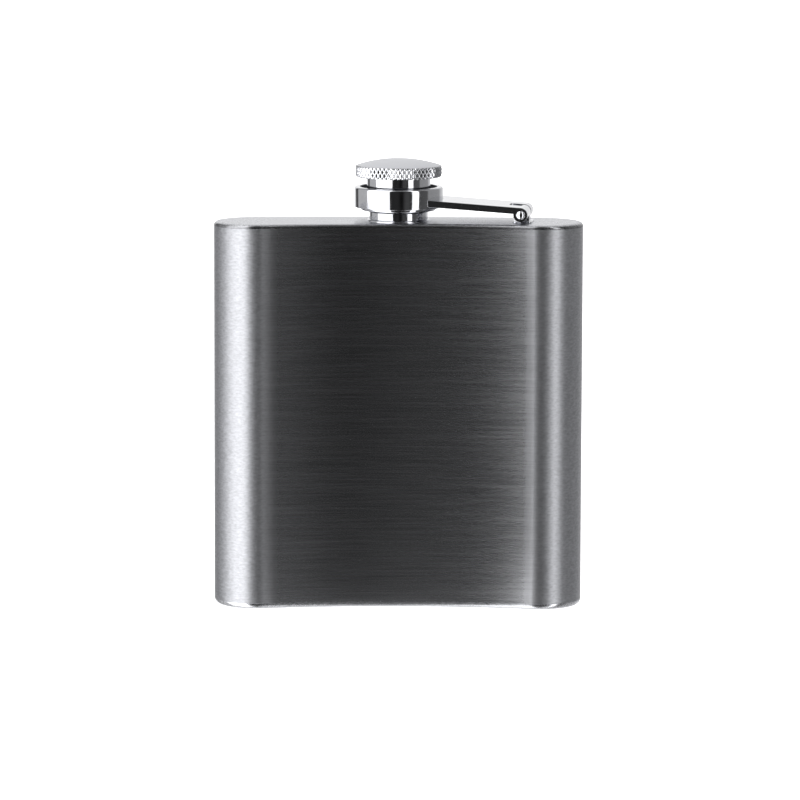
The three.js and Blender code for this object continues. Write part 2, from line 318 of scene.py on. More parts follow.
def above_plate(z):
    """A height in the frame, counted from the top plate."""
    return z - plate_top


# %% [markdown]
# ## Neck
# The spout is turned from bar: a shoulder, then a right-hand thread of 1.5 mm pitch, then a rounded lip. A thread
# can be swept along a helix and joined on, which leaves a messy joint. As a groove it is simpler: its depth at a
# point depends only on how far that point is above the helix, so one formula cuts it, on the neck here and in the
# cap later. It fades in and out at its ends.

# %% Neck
THREAD_PITCH = 1.5 * MM
THREAD_DEPTH = 0.45 * MM
THREAD_FADE = 0.8 * MM
THREAD_CREST = 0.8
THREAD_ROWS = 96
LIP_STEPS = 12
NECK_BORE = 5.25 * MM
NECK_THREAD = 6.3 * MM
NECK_SPIGOT = 6.2 * MM
NECK_EASE = 0.25 * MM
NECK_SHOULDER = 2.4 * MM
ROUND_SEGMENTS = 144

neck_radius = (neck_high.x - neck_low.x) / 2
lip = above_plate(neck_high.z)
thread_start = NECK_SHOULDER + 0.7 * MM
thread_end = lip - 0.9 * MM


def helix_groove(angle, height, start, end, depth, crest=1.0):
    """Depth of a round-bottomed right-hand groove at this angle and height. A lower `crest` is a sharper one."""
    turn = (height / THREAD_PITCH - angle / (2 * math.pi)) % 1
    fade = min(1, (height - start) / THREAD_FADE, (end - height) / THREAD_FADE)
    return depth * max(0, fade) * (0.5 - 0.5 * math.cos(2 * math.pi * turn)) ** crest


def thread_cut(angle, height):
    """The neck's own thread."""
    return helix_groove(angle, height, thread_start, thread_end, THREAD_DEPTH, THREAD_CREST)


neck_profile = plain([
    (NECK_BORE, above_plate(neck_low.z)),
    (NECK_SPIGOT, above_plate(neck_low.z)),
    (NECK_SPIGOT, 0),
    (neck_radius, 0),
    *arc(neck_radius - NECK_EASE, NECK_SHOULDER - NECK_EASE, NECK_EASE, 0, QUARTER, 6),
    (NECK_THREAD + NECK_EASE, NECK_SHOULDER),
    (NECK_THREAD, NECK_SHOULDER + NECK_EASE),
])
neck_profile += [(NECK_THREAD, thread_start + (thread_end - thread_start) * row / THREAD_ROWS, 1)
                 for row in range(THREAD_ROWS + 1)]
lip_middle = (NECK_BORE + NECK_THREAD) / 2
lip_radius = (NECK_THREAD - NECK_BORE) / 2
neck_profile += plain([(lip_middle + lip_radius * math.cos(a), lip - lip_radius + lip_radius * math.sin(a))
                       for a in (math.pi * step / LIP_STEPS for step in range(LIP_STEPS + 1))])
neck = turned("threaded_neck", neck_profile, ROUND_SEGMENTS, closed=True, relief=thread_cut)

# %% [markdown]
# ## Neck base ring
# A thin bead of braze runs round the foot of the neck and hides its joint with the plate. A torus would do for a
# bead that stands free. This one is a quarter round, so it is turned like the neck, a hair outside it.

# %% Neck base ring
HAIR = 0.02 * MM
BEAD_FOOT_ANGLE = 0.15
BEAD_STEPS = 8

ring_outer = (ring_high.x - ring_low.x) / 2
ring_inner = neck_radius + HAIR
base_ring = turned("neck_base_bead", plain([
    (ring_inner, 0),
    (ring_outer, 0),
    *arc(ring_inner, 0, ring_outer - ring_inner, BEAD_FOOT_ANGLE, QUARTER, BEAD_STEPS),
]), ROUND_SEGMENTS, closed=True)

# %% [markdown]
# ## The cap's head
# The head is knurled: two sets of fine V grooves are rolled into the rim, one leaning each way, and leave small
# pyramids between them. A bump map would look much the same from the front, but the outline and the exported mesh
# would be smooth, so the grooves are cut into the mesh. A point's depth is that of the deeper groove. The dome
# above is turned, with a narrow bright bevel where it meets the knurl. The knurl is drawn coarser than a real
# one, so that each diamond shows.

# %% Knurled head
KNURL_COUNT = 62
KNURL_HEIGHT = 1.85 * MM
KNURL_DEPTH = 0.34 * MM
KNURL_STEPS = 8
RIM_ROWS = 22
RIM_HEIGHT = 2.85 * MM
RIM_BEVEL = 0.35 * MM
SOCKET_RADIUS = 8.25 * MM
SOCKET_EASE = 0.1 * MM
DOME_STEPS = 16
KNURL_SHARP_ANGLE = math.radians(50)

head_radius = (head_high.x - head_low.x) / 2
head_bottom = above_plate(head_low.z)
head_top = above_plate(head_high.z)
rim_top = head_bottom + RIM_HEIGHT
bevel_rise = RIM_BEVEL * 0.7
socket_roof = above_plate(sleeve_high.z)


def knurl_cut(angle, height):
    """Depth below the tops of the pyramids of a diamond knurl."""
    across = angle * KNURL_COUNT / (2 * math.pi)
    up = (height - head_bottom) / KNURL_HEIGHT
    leans = [abs(2 * ((across + way * up) % 1) - 1) for way in (1, -1)]
    return KNURL_DEPTH * max(leans)


dome_edge = head_radius - RIM_BEVEL
dome_rise = head_top - rim_top
dome_radius = (dome_edge**2 + dome_rise**2) / (2 * dome_rise)
dome_start = math.acos(dome_edge / dome_radius)
head_profile = plain([
    (0, socket_roof),
    (SOCKET_RADIUS, socket_roof),
    (SOCKET_RADIUS, head_bottom + SOCKET_EASE),
    (SOCKET_RADIUS + SOCKET_EASE, head_bottom),
    (head_radius - RIM_BEVEL - KNURL_DEPTH / 2, head_bottom),
    (head_radius - RIM_BEVEL, head_bottom),
])
knurl_rise = rim_top - head_bottom - 2 * bevel_rise
head_profile += [(head_radius, head_bottom + bevel_rise + knurl_rise * row / RIM_ROWS, 1)
                 for row in range(RIM_ROWS + 1)]
head_profile += plain(arc(0, head_top - dome_radius, dome_radius, dome_start, QUARTER, DOME_STEPS)[:-1])
head_profile += plain([(0, head_top)])
cap_head = turned("knurled_cap_head", head_profile, KNURL_COUNT * KNURL_STEPS, closed=False,
                  relief=knurl_cut, sharp_angle=KNURL_SHARP_ANGLE)

# %% [markdown]
# ## The cap's sleeve
# The sleeve below the head is polished, carries the flange that keeps the cap in its collar, and has the mating
# thread inside. That thread uses the neck's formula with the sign turned round, so it grows into the wall.

# %% Cap sleeve
SLEEVE_RADIUS = 8.15 * MM
SLEEVE_BORE = 7.4 * MM
FLANGE_HEIGHT = 1.2 * MM
FLANGE_EASE = 0.3 * MM
SLEEVE_EASE = 0.15 * MM
MATING_DEPTH = 0.35 * MM
MATING_ROWS = 60

flange_radius = (sleeve_high.x - sleeve_low.x) / 2
sleeve_bottom = above_plate(sleeve_low.z)
flange_top = sleeve_bottom + FLANGE_HEIGHT
inner_start = sleeve_bottom + 0.6 * MM
inner_end = socket_roof - 2.2 * MM


def sleeve_cut(angle, height):
    """The mating thread: it grows outwards, into the wall of the bore."""
    return helix_groove(angle, height, inner_start, inner_end, -MATING_DEPTH)


sleeve_profile = plain([
    (SLEEVE_BORE, sleeve_bottom + SLEEVE_EASE),
    (SLEEVE_BORE + SLEEVE_EASE, sleeve_bottom),
    *arc(flange_radius - FLANGE_EASE, sleeve_bottom + FLANGE_EASE, FLANGE_EASE, -QUARTER, 0, 6),
    *arc(flange_radius - FLANGE_EASE, flange_top - FLANGE_EASE, FLANGE_EASE, 0, QUARTER, 6),
    (SLEEVE_RADIUS + SLEEVE_EASE, flange_top),
    (SLEEVE_RADIUS, flange_top + SLEEVE_EASE),
    (SLEEVE_RADIUS, socket_roof),
    (SLEEVE_BORE, socket_roof),
])
sleeve_profile += [(SLEEVE_BORE, inner_end - (inner_end - inner_start) * row / MATING_ROWS, 1)
                   for row in range(MATING_ROWS + 1)]
cap_sleeve = turned("cap_sleeve_polished", sleeve_profile, ROUND_SEGMENTS, closed=True, relief=sleeve_cut)

# %% [markdown]
# ## Seal disc
# A soft disc in the roof of the cap closes on the neck's lip. A cylinder with a bevel would be the same shape.
# Turning it keeps its seat and its eased edges in one profile.

# %% Seal disc
SEAL_EASE = 0.2 * MM
SEAL_SEGMENTS = 96

seal_radius = (seal_high.x - seal_low.x) / 2
seal_bottom = above_plate(seal_low.z)
seal_top = above_plate(seal_high.z)
seal = turned("soft_seal_disc", plain([
    (0, seal_bottom),
    *arc(seal_radius - SEAL_EASE, seal_bottom + SEAL_EASE, SEAL_EASE, -QUARTER, 0, 4),
    *arc(seal_radius - SEAL_EASE, seal_top - SEAL_EASE, SEAL_EASE, 0, QUARTER, 4),
    (0, seal_top),
]), SEAL_SEGMENTS, closed=False)

# %% [markdown]
# ## Collar and washer
# The cap turns freely in this polished ring. Its top edge is well rounded and its bottom edge eased, both by the
# polishing mop. The retaining washer sits in its bore. Both are closed profiles: an arc for each corner is enough,
# because the rings between two arcs make the walls.

# %% Collar and washer
COLLAR_BORE = 9.75 * MM
COLLAR_ROUNDING = 0.5 * MM
COLLAR_EASE = 0.18 * MM
WASHER_EASE = 0.1 * MM
WASHER_PLAY = 0.3 * MM

collar_radius = (collar_high.x - collar_low.x) / 2
collar_bottom = above_plate(collar_low.z)
collar_top = above_plate(collar_high.z)
collar = turned("polished_collar", plain([
    *arc(collar_radius - COLLAR_EASE, collar_bottom + COLLAR_EASE, COLLAR_EASE, -QUARTER, 0, 5),
    *arc(collar_radius - COLLAR_ROUNDING, collar_top - COLLAR_ROUNDING, COLLAR_ROUNDING, 0, QUARTER, 8),
    *arc(COLLAR_BORE + COLLAR_EASE, collar_top - COLLAR_EASE, COLLAR_EASE, QUARTER, 2 * QUARTER, 5),
    *arc(COLLAR_BORE + COLLAR_EASE, collar_bottom + COLLAR_EASE, COLLAR_EASE, 2 * QUARTER, 3 * QUARTER, 5),
]), ROUND_SEGMENTS, closed=True)

washer_outer = (washer_high.x - washer_low.x) / 2
washer_inner = SLEEVE_RADIUS + WASHER_PLAY
washer_bottom = above_plate(washer_low.z)
washer_top = above_plate(washer_high.z)
washer = turned("retaining_washer", plain([
    (washer_inner, washer_bottom + WASHER_EASE),
    (washer_inner + WASHER_EASE, washer_bottom),
    (washer_outer, washer_bottom),
    (washer_outer, washer_top),
    (washer_inner + WASHER_EASE, washer_top),
    (washer_inner, washer_top - WASHER_EASE),
]), ROUND_SEGMENTS, closed=True)

# %% [markdown]
# ## Hinge
# The hinge's pieces are bent, sawn and drilled, not turned. Each is drawn in side view about the pin and extruded
# along it, and then moved to the pin's place and direction by one matrix.

# %% Hinge helpers
CUTTER_SEGMENTS = 96

hinge_out = hinge_axis.cross(Vector((0, 0, 1)))
hinge_frame = Matrix((
    (hinge_out.x, hinge_axis.x, 0, hinge_point.x),
    (hinge_out.y, hinge_axis.y, 0, hinge_point.y),
    (0, 0, 1, hinge_point.z),
    (0, 0, 0, 1),
))
print("the pin lies along", [round(value, 3) for value in hinge_axis])


def side_extrusion(name, outline, holes, width, turn=0.0):
    """Extrudes a side view, given as (distance from the pin, height), along the pin, with round holes."""
    bm = bmesh.new()
    tilt = Matrix.Rotation(turn, 4, "Y")
    face = bm.faces.new([bm.verts.new(tilt @ Vector((x, -width / 2, z))) for x, z in outline])
    grown = bmesh.ops.extrude_face_region(bm, geom=[face])
    moved = [item for item in grown["geom"] if isinstance(item, bmesh.types.BMVert)]
    bmesh.ops.translate(bm, verts=moved, vec=Vector((0, width, 0)))
    piece = mesh_object(name, bm)
    for radius in holes:
        cut(piece, round_cutter(radius, 2 * width, "Y", Vector((0, 0, 0))))
    return piece


def round_cutter(radius, length, along, place):
    """A cylinder to cut with, along Y or Z."""
    bm = bmesh.new()
    bmesh.ops.create_cone(bm, cap_ends=True, segments=CUTTER_SEGMENTS, radius1=radius, radius2=radius, depth=length)
    if along == "Y":
        bmesh.ops.rotate(bm, verts=bm.verts, matrix=Matrix.Rotation(QUARTER, 3, "X"))
    bmesh.ops.translate(bm, verts=bm.verts, vec=place)
    return mesh_object("cutter", bm)


# %% [markdown]
# Holes, slots and seats are cut with booleans, as a drill or a saw would. A bevel then eases every edge. Both are
# modifiers, and each is applied at once, so that the piece is a plain mesh again.

# %% Cut and ease
EASE_SEGMENTS = 3
FLAT_ANGLE = math.radians(60)


def applied(piece):
    """Makes the result of a piece's modifiers its own mesh."""
    bpy.context.view_layer.update()
    graph = bpy.context.evaluated_depsgraph_get()
    mesh = bpy.data.meshes.new_from_object(piece.evaluated_get(graph))
    piece.modifiers.clear()
    piece.data = mesh


def cut(piece, cutter):
    """Takes the cutter's shape out of a piece, and drops the cutter."""
    boolean = piece.modifiers.new("cut", "BOOLEAN")
    boolean.operation = "DIFFERENCE"
    boolean.solver = "EXACT"
    boolean.object = cutter
    applied(piece)
    bpy.data.objects.remove(cutter)


def ease_edges(piece, width):
    """Rounds every sharp edge by a little, as polishing does, and keeps flat faces flat in the shading."""
    bevel = piece.modifiers.new("ease", "BEVEL")
    bevel.width = width
    bevel.segments = EASE_SEGMENTS
    bevel.limit_method = "ANGLE"
    bevel.angle_limit = SHARP_ANGLE
    bevel.use_clamp_overlap = True
    applied(piece)
    piece.data.shade_smooth()
    piece.data.set_sharp_from_angle(angle=FLAT_ANGLE)
    weighted = piece.modifiers.new("flat shading", "WEIGHTED_NORMAL")
    weighted.keep_sharp = True
    applied(piece)


# %% [markdown]
# ## Arm
# The arm is a flat strap. At one end it is welded to the collar, and at the other it is rolled round the pin and
# slotted, so that two knuckles stand either side of the bracket's lug. The slot's inner corners are round, as an
# end mill leaves them.

# %% Arm
ARM_WIDTH = 15.5 * MM
ARM_THICKNESS = 1.7 * MM
ARM_TOP_AT_COLLAR = 5.7 * MM
KNUCKLE_RADIUS = 1.85 * MM
PIN_RADIUS = 1.0 * MM
PIN_PLAY = 0.05 * MM
SLOT_WIDTH = 4.5 * MM
SLOT_LENGTH = 3.4 * MM
SLOT_CORNER = 0.9 * MM
ARM_EASE = 0.09 * MM
CUT_REACH = 4 * KNUCKLE_RADIUS
COLLAR_CUT_HEIGHT = 30 * MM

arm_reach = math.hypot(hinge_point.x - neck_axis.x, hinge_point.y - neck_axis.y)
span = arm_reach - collar_radius
rise = ARM_TOP_AT_COLLAR - above_plate(hinge_point.z)
slope = math.atan2(rise, span) - math.asin(KNUCKLE_RADIUS / math.hypot(rise, span))
underside = KNUCKLE_RADIUS - ARM_THICKNESS
knuckle_start = math.pi - math.asin(underside / KNUCKLE_RADIUS)
arm_outline = [
    (-arm_reach, underside),
    *arc(0, 0, KNUCKLE_RADIUS, knuckle_start, 5 * QUARTER, 48),
    (-arm_reach, KNUCKLE_RADIUS),
]
arm = side_extrusion("slotted_arm", arm_outline, [PIN_RADIUS + PIN_PLAY], ARM_WIDTH, slope)

slot_half = SLOT_WIDTH / 2
slot_end = -SLOT_LENGTH + SLOT_CORNER
slot_plan = [(CUT_REACH, slot_half)]
slot_plan += arc(slot_end, slot_half - SLOT_CORNER, SLOT_CORNER, QUARTER, 2 * QUARTER, 10)
slot_plan += arc(slot_end, -slot_half + SLOT_CORNER, SLOT_CORNER, 2 * QUARTER, 3 * QUARTER, 10)
slot_plan += [(CUT_REACH, -slot_half)]
slot_rings = [[Vector((x, y, z)) for x, y in slot_plan] for z in (-CUT_REACH, CUT_REACH)]
cut(arm, ring_stack("cutter", slot_rings, closed=False))
cut(arm, round_cutter(collar_radius + HAIR, COLLAR_CUT_HEIGHT, "Z", Vector((-arm_reach, 0, 0))))
ease_edges(arm, ARM_EASE)
arm.data.transform(hinge_frame)
print("arm slopes by", round(math.degrees(slope), 1), "degrees over", round(span / MM, 1), "mm")

# %% [markdown]
# ## Pin
# The pin is a plain rivet with a domed end each side. Its rings run along the hinge's axis, so the ring stack
# makes it too.

# %% Pin
PIN_DOME = 0.4 * MM
PIN_SEGMENTS = 48

pin_half = ARM_WIDTH / 2
pin_dome_radius = (PIN_RADIUS**2 + PIN_DOME**2) / (2 * PIN_DOME)
pin_dome_angle = math.acos(PIN_RADIUS / pin_dome_radius)
pin_dome_centre = pin_half + PIN_DOME - pin_dome_radius
pin_side = arc(0, pin_dome_centre, pin_dome_radius, pin_dome_angle, QUARTER, 8)
pin_profile = [(radius, -along) for radius, along in reversed(pin_side)] + pin_side
turns = [2 * math.pi * i / PIN_SEGMENTS for i in range(PIN_SEGMENTS)]
pin_rings = []
for pin_ring_radius, along in pin_profile:
    pin_rings.append([Vector((pin_ring_radius * math.cos(a), along, -pin_ring_radius * math.sin(a))) for a in turns])
pin = ring_stack("domed_hinge_pin", pin_rings, closed=False)
pin.data.transform(hinge_frame)

# %% [markdown]
# ## Bracket
# The bracket is a lug on a small foot, brazed to the top plate in line with the pin. Lug and foot are made apart
# and joined by a boolean, so that the bevel also rounds the corner between them.

# %% Bracket
LUG_RADIUS = 1.75 * MM
LUG_WIDTH = 4.0 * MM
FOOT_LENGTH = 4.8 * MM
FOOT_WIDTH = 7.2 * MM
FOOT_THICKNESS = 0.45 * MM
FOOT_CORNER = 0.8 * MM
BRACKET_EASE = 0.12 * MM

pin_height = above_plate(hinge_point.z)
lug_outline = [(-LUG_RADIUS, -pin_height), (LUG_RADIUS, -pin_height), *arc(0, 0, LUG_RADIUS, 0, math.pi, 32)]
bracket = side_extrusion("hinge_lug", lug_outline, [PIN_RADIUS + PIN_PLAY], LUG_WIDTH)
foot_x = FOOT_LENGTH / 2 - FOOT_CORNER
foot_y = FOOT_WIDTH / 2 - FOOT_CORNER
foot_plan = []
for index, (way_x, way_y) in enumerate([(1, 1), (-1, 1), (-1, -1), (1, -1)]):
    foot_plan += arc(way_x * foot_x, way_y * foot_y, FOOT_CORNER, index * QUARTER, (index + 1) * QUARTER, 6)
foot_rings = [[Vector((x, y, z)) for x, y in foot_plan] for z in (-pin_height, -pin_height + FOOT_THICKNESS)]
foot = ring_stack("hinge_foot", foot_rings, closed=False)
join = bracket.modifiers.new("join", "BOOLEAN")
join.operation = "UNION"
join.solver = "EXACT"
join.object = foot
applied(bracket)
bpy.data.objects.remove(foot)
ease_edges(bracket, BRACKET_EASE)
bracket.data.transform(hinge_frame)

# %% [markdown]
# ## Colours and nodes
# Colours are written as sRGB hex values, the way a paint chart gives them. Shaders work in linear light, so one
# function converts. A second function adds a node, sets it up and links it, in one line.

# %% Colour and node helpers
def linear(hex_colour):
    """An sRGB hex colour as linear RGBA."""
    channels = [int(hex_colour[i:i + 2], 16) / 255 for i in (1, 3, 5)]
    return (*[c / 12.92 if c <= 0.04045 else ((c + 0.055) / 1.055) ** 2.4 for c in channels], 1.0)


def add(tree, kind, inputs=None, **settings):
    """Adds one node. `inputs` maps a socket's name or number to a value, or to the output that feeds it."""
    made = tree.nodes.new("ShaderNode" + kind)
    for name, value in settings.items():
        setattr(made, name, value)
    for socket, value in (inputs or {}).items():
        if isinstance(value, bpy.types.NodeSocket):
            tree.links.new(value, made.inputs[socket])
        else:
            made.inputs[socket].default_value = value
    return made.outputs[0]


def new_finish(name, **numbers):
    """A material whose principled shader has these uniform numbers set on its sockets."""
    material = bpy.data.materials.new(name)
    material.use_nodes = True
    shader = material.node_tree.nodes["Principled BSDF"]
    for socket, value in numbers.items():
        shader.inputs[socket.replace("_", " ")].default_value = value
    return material, material.node_tree, shader


def feed(tree, shader, **outputs):
    """Links outputs to the shader's sockets."""
    for socket, output in outputs.items():
        tree.links.new(output, shader.inputs[socket.replace("_", " ")])


# %% [markdown]
# ## Brushed stainless steel
# The sheet is 304 stainless, finished on an abrasive belt that leaves fine parallel scratches along the body.
# Light spreads across the scratches and hardly at all along them, which is what an anisotropic highlight is: the
# front's reflections are smeared up and down but stay narrower from left to right. Real scratches are a few
# hundredths of a millimetre apart. They are drawn about a quarter of a millimetre apart here, so that they show.
#
# Round the tight sides the belt rides less evenly, so the lines are short streaks there and the spread is wider.
# It runs a little to one side of the middle. A noise stretched along the lines makes them, from a length and a
# spacing in millimetres, and the same noise drives the colour, the roughness and the bump.

# %% Brushed steel values
STEEL_GROOVE = "#BABBBF"
STEEL_RIDGE = "#DBDCE0"
LINE_LENGTH = 16.0
LINE_SPACING = 0.24
STREAK_LENGTH = 1.1
STREAK_SPACING = 0.45
SCRATCH_DEPTH = 0.0009 * MM
BELT_DRIFT = 0.9 * MM
STREAKS_FROM = side_x - 5.5 * MM
STREAKS_FULL = side_x + 1.5 * MM
FLANK_FROM = side_x + 1 * MM
LEVEL_ROUGHNESS = 0.27
SIDE_ROUGHNESS = 0.6
FLANK_ROUGHNESS = 0.72
ROUGHNESS_SPREAD = 0.02
GRAIN_LOW, GRAIN_HIGH = 0.3, 0.7
# Painted shade of the top plate's seam: its darkest share of the colour, and where its band lies above the top of
# the wrap.
PAINTED_SEAM_SHADE = 0.42
SEAM_SHADE_RISE = 0.3 * MM
SEAM_SHADE_CORE = 0.2 * MM
SEAM_SHADE_REACH = 0.5 * MM
print("streaks take over from", round(STREAKS_FROM / MM, 1), "to", round(STREAKS_FULL / MM, 1), "mm off the middle")

# %% [markdown]
# One function makes the finish for the wrap and for the end plates, which are brushed along their length. Where
# the top plate meets the wrap, a dark band about half a millimetre wide is painted into the colour as the seam's
# shade.

# %% Brushed steel
def brushed_steel(name, stretch, tangent, turn, side_roughness, flank_roughness):
    """Brushed sheet. `stretch` gives each axis as along the lines (0) or across them (1)."""
    material, tree, shader = new_finish(
        name, Metallic=1.0, Anisotropic=0.85, Anisotropic_Rotation=turn, Roughness=LEVEL_ROUGHNESS)
    place = tree.nodes.new("ShaderNodeTexCoord").outputs["Object"]

    def lines(length, spacing, detail):
        per_metre = [1 / ((spacing if across else length) * MM) for across in stretch]
        stretched = add(tree, "Mapping", {"Vector": place, "Scale": per_metre})
        return add(tree, "TexNoise", {"Vector": stretched, "Scale": 1.0, "Detail": detail, "Roughness": 0.65})

    hairlines = lines(LINE_LENGTH, LINE_SPACING, 4.0)
    streaks = lines(STREAK_LENGTH, STREAK_SPACING, 3.0)
    spot = tree.nodes.new("ShaderNodeSeparateXYZ")
    tree.links.new(place, spot.inputs[0])
    sideways = add(tree, "Math", {0: spot.outputs["X"], 1: BELT_DRIFT}, operation="SUBTRACT")
    distance = add(tree, "Math", {0: sideways}, operation="ABSOLUTE")
    side = add(tree, "MapRange", {0: distance, 1: STREAKS_FROM, 2: STREAKS_FULL}, interpolation_type="SMOOTHSTEP")

    grain = add(tree, "Mix", {0: side, 2: hairlines, 3: streaks}, data_type="FLOAT")
    flank = add(tree, "MapRange", {0: distance, 1: FLANK_FROM, 2: half_width}, interpolation_type="SMOOTHSTEP")
    on_side = add(tree, "MapRange", {0: side, 3: LEVEL_ROUGHNESS, 4: side_roughness})
    smooth = add(tree, "MapRange", {0: flank, 3: on_side, 4: flank_roughness})
    tint = add(tree, "MapRange", {0: grain, 1: GRAIN_LOW, 2: GRAIN_HIGH})
    uneven = add(tree, "MapRange", {0: tint, 3: -ROUGHNESS_SPREAD, 4: ROUGHNESS_SPREAD})
    steel = add(tree, "MixRGB", {0: tint, 1: linear(STEEL_GROOVE), 2: linear(STEEL_RIDGE)})

    # Painted shade along the top plate's seam: the colour darkens in a narrow band just above the top of the wrap.
    above = add(tree, "Math", {0: spot.outputs["Z"], 1: wrap_high.z + SEAM_SHADE_RISE}, operation="SUBTRACT")
    from_weld = add(tree, "Math", {0: above}, operation="ABSOLUTE")
    seam_shade = add(tree, "MapRange", {0: from_weld, 1: SEAM_SHADE_CORE, 2: SEAM_SHADE_REACH, 3: PAINTED_SEAM_SHADE, 4: 1.0})
    feed(
        tree, shader,
        Base_Color=add(tree, "MixRGB", {0: 1.0, 1: steel, 2: seam_shade}, blend_type="MULTIPLY"),
        Roughness=add(tree, "Math", {0: smooth, 1: uneven}, operation="ADD"),
        Normal=add(tree, "Bump", {"Height": grain, "Strength": 1.0, "Distance": SCRATCH_DEPTH}),
        Tangent=add(tree, "Tangent", direction_type="RADIAL", axis=tangent),
    )
    return material


wrap_steel = brushed_steel("brushed_steel_wrap", (0, 0, 1), "Z", 0.25, SIDE_ROUGHNESS, FLANK_ROUGHNESS)
plate_steel = brushed_steel("brushed_steel_plate", (0, 1, 1), "X", 0.0, LEVEL_ROUGHNESS, LEVEL_ROUGHNESS)
print("made", wrap_steel.name, "and", plate_steel.name)

# %% [markdown]
# ## Polished steel
# The turned and bent fittings are buffed on a mop. That leaves a near-mirror with a faint waviness a few
# millimetres long, and fine wheel marks under a millimetre. A perfect mirror would look like glass, so the
# waviness bends the reflections a little. The knurl is rolled and only brushed over, so it is rougher. The bore of
# the collar and its washer never see the mop, so they stay dull, and their dark colour is painted shade of the
# recess.

# %% Polished steel
STEEL = "#D2D3D7"
STEEL_DARK = "#C6C7CB"
MARK_SIZE = 0.9 * MM
WAVE_LENGTH = 2.5 * MM
WAVE_HEIGHT = 0.01 * MM


def polished_steel(name, roughness, dark=STEEL_DARK, light=STEEL):
    """Turned or buffed steel, from a near-mirror to a dull bore."""
    material, tree, shader = new_finish(name, Metallic=1.0, Roughness=roughness)
    place = tree.nodes.new("ShaderNodeTexCoord").outputs["Object"]
    marks = add(tree, "TexNoise", {"Vector": place, "Scale": 1 / MARK_SIZE, "Detail": 5.0, "Roughness": 0.6})
    waves = add(tree, "TexNoise", {"Vector": place, "Scale": 1 / WAVE_LENGTH, "Detail": 1.0})
    feed(
        tree, shader,
        Base_Color=add(tree, "MixRGB", {0: marks, 1: linear(dark), 2: linear(light)}),
        Roughness=add(tree, "MapRange", {0: marks, 1: 0.35, 2: 0.65, 3: roughness - 0.03, 4: roughness + 0.05}),
        Normal=add(tree, "Bump", {"Height": waves, "Strength": 1.0, "Distance": WAVE_HEIGHT}),
    )
    return material


mirror_steel = polished_steel("polished_steel", 0.07)
knurl_steel = polished_steel("rolled_steel_knurl", 0.16)
# The dark colours of the bore and washer are painted shade, for the recess inside the collar.
painted_shade_steel = polished_steel("painted_shade_dull_bore", 0.42, "#5A5B5E", "#6E6F73")
print("made", mirror_steel.name + ",", knurl_steel.name, "and", painted_shade_steel.name)

# %% [markdown]
# ## Satin dome
# The cap's dome is only faced on the lathe: rings a tenth of a millimetre apart, drawn about a third of a
# millimetre wide here, make it satin, so it takes a soft light without a sharp reflection. A noise that knows only
# the distance from the axis makes the rings, and a second one adds the grit between them.

# %% Satin dome
TOOL_RING = 0.35 * MM
GRIT_SIZE = 0.4 * MM
TOOL_DEPTH = 0.004 * MM

satin_steel, tree, shader = new_finish("satin_faced_steel", Metallic=1.0, Roughness=0.38)
place = tree.nodes.new("ShaderNodeTexCoord").outputs["Object"]
from_axis = add(tree, "VectorMath", {0: place, 1: (neck_axis.x, neck_axis.y, 0)}, operation="SUBTRACT")
in_plane = add(tree, "VectorMath", {0: from_axis, 1: (1, 1, 0)}, operation="MULTIPLY")
length = tree.nodes.new("ShaderNodeVectorMath")
length.operation = "LENGTH"
tree.links.new(in_plane, length.inputs[0])
tool_rings = add(tree, "TexNoise", {"W": length.outputs["Value"], "Scale": 1 / TOOL_RING, "Detail": 2.0},
                 noise_dimensions="1D")
grit = add(tree, "TexNoise", {"Vector": place, "Scale": 1 / GRIT_SIZE, "Detail": 2.0})
facing = add(tree, "Mix", {0: 0.5, 2: tool_rings, 3: grit}, data_type="FLOAT")
feed(
    tree, shader,
    Base_Color=add(tree, "MixRGB", {0: facing, 1: linear(STEEL_DARK), 2: linear(STEEL)}),
    Roughness=add(tree, "MapRange", {0: facing, 1: 0.3, 2: 0.7, 3: 0.33, 4: 0.43}),
    Normal=add(tree, "Bump", {"Height": facing, "Strength": 1.0, "Distance": TOOL_DEPTH}),
)
print("made", satin_steel.name)

# %% [markdown]
# ## Seal plastic
# The liner in the cap is soft food-grade polyethylene, moulded, so it is milky and slightly translucent, with a
# dull skin. Light goes a fraction of a millimetre into it, which subsurface scattering gives.

# %% Seal plastic
CLOUD_SIZE = 1.5 * MM

seal_plastic, tree, shader = new_finish(
    "moulded_seal_liner", Roughness=0.5, IOR=1.45, Subsurface_Weight=0.15, Subsurface_Scale=0.5 * MM)
place = tree.nodes.new("ShaderNodeTexCoord").outputs["Object"]
clouds = add(tree, "TexNoise", {"Vector": place, "Scale": 1 / CLOUD_SIZE, "Detail": 3.0})
feed(
    tree, shader,
    Base_Color=add(tree, "MixRGB", {0: clouds, 1: linear("#E4E1D8"), 2: linear("#F0EEE7")}),
    Roughness=add(tree, "MapRange", {0: clouds, 3: 0.42, 4: 0.58}),
)
print("made", seal_plastic.name)

# %% [markdown]
# ## Put the pieces on their bodies
# Each piece gets its finish, rides with the body that its solid belongs to, and stands in for that solid.

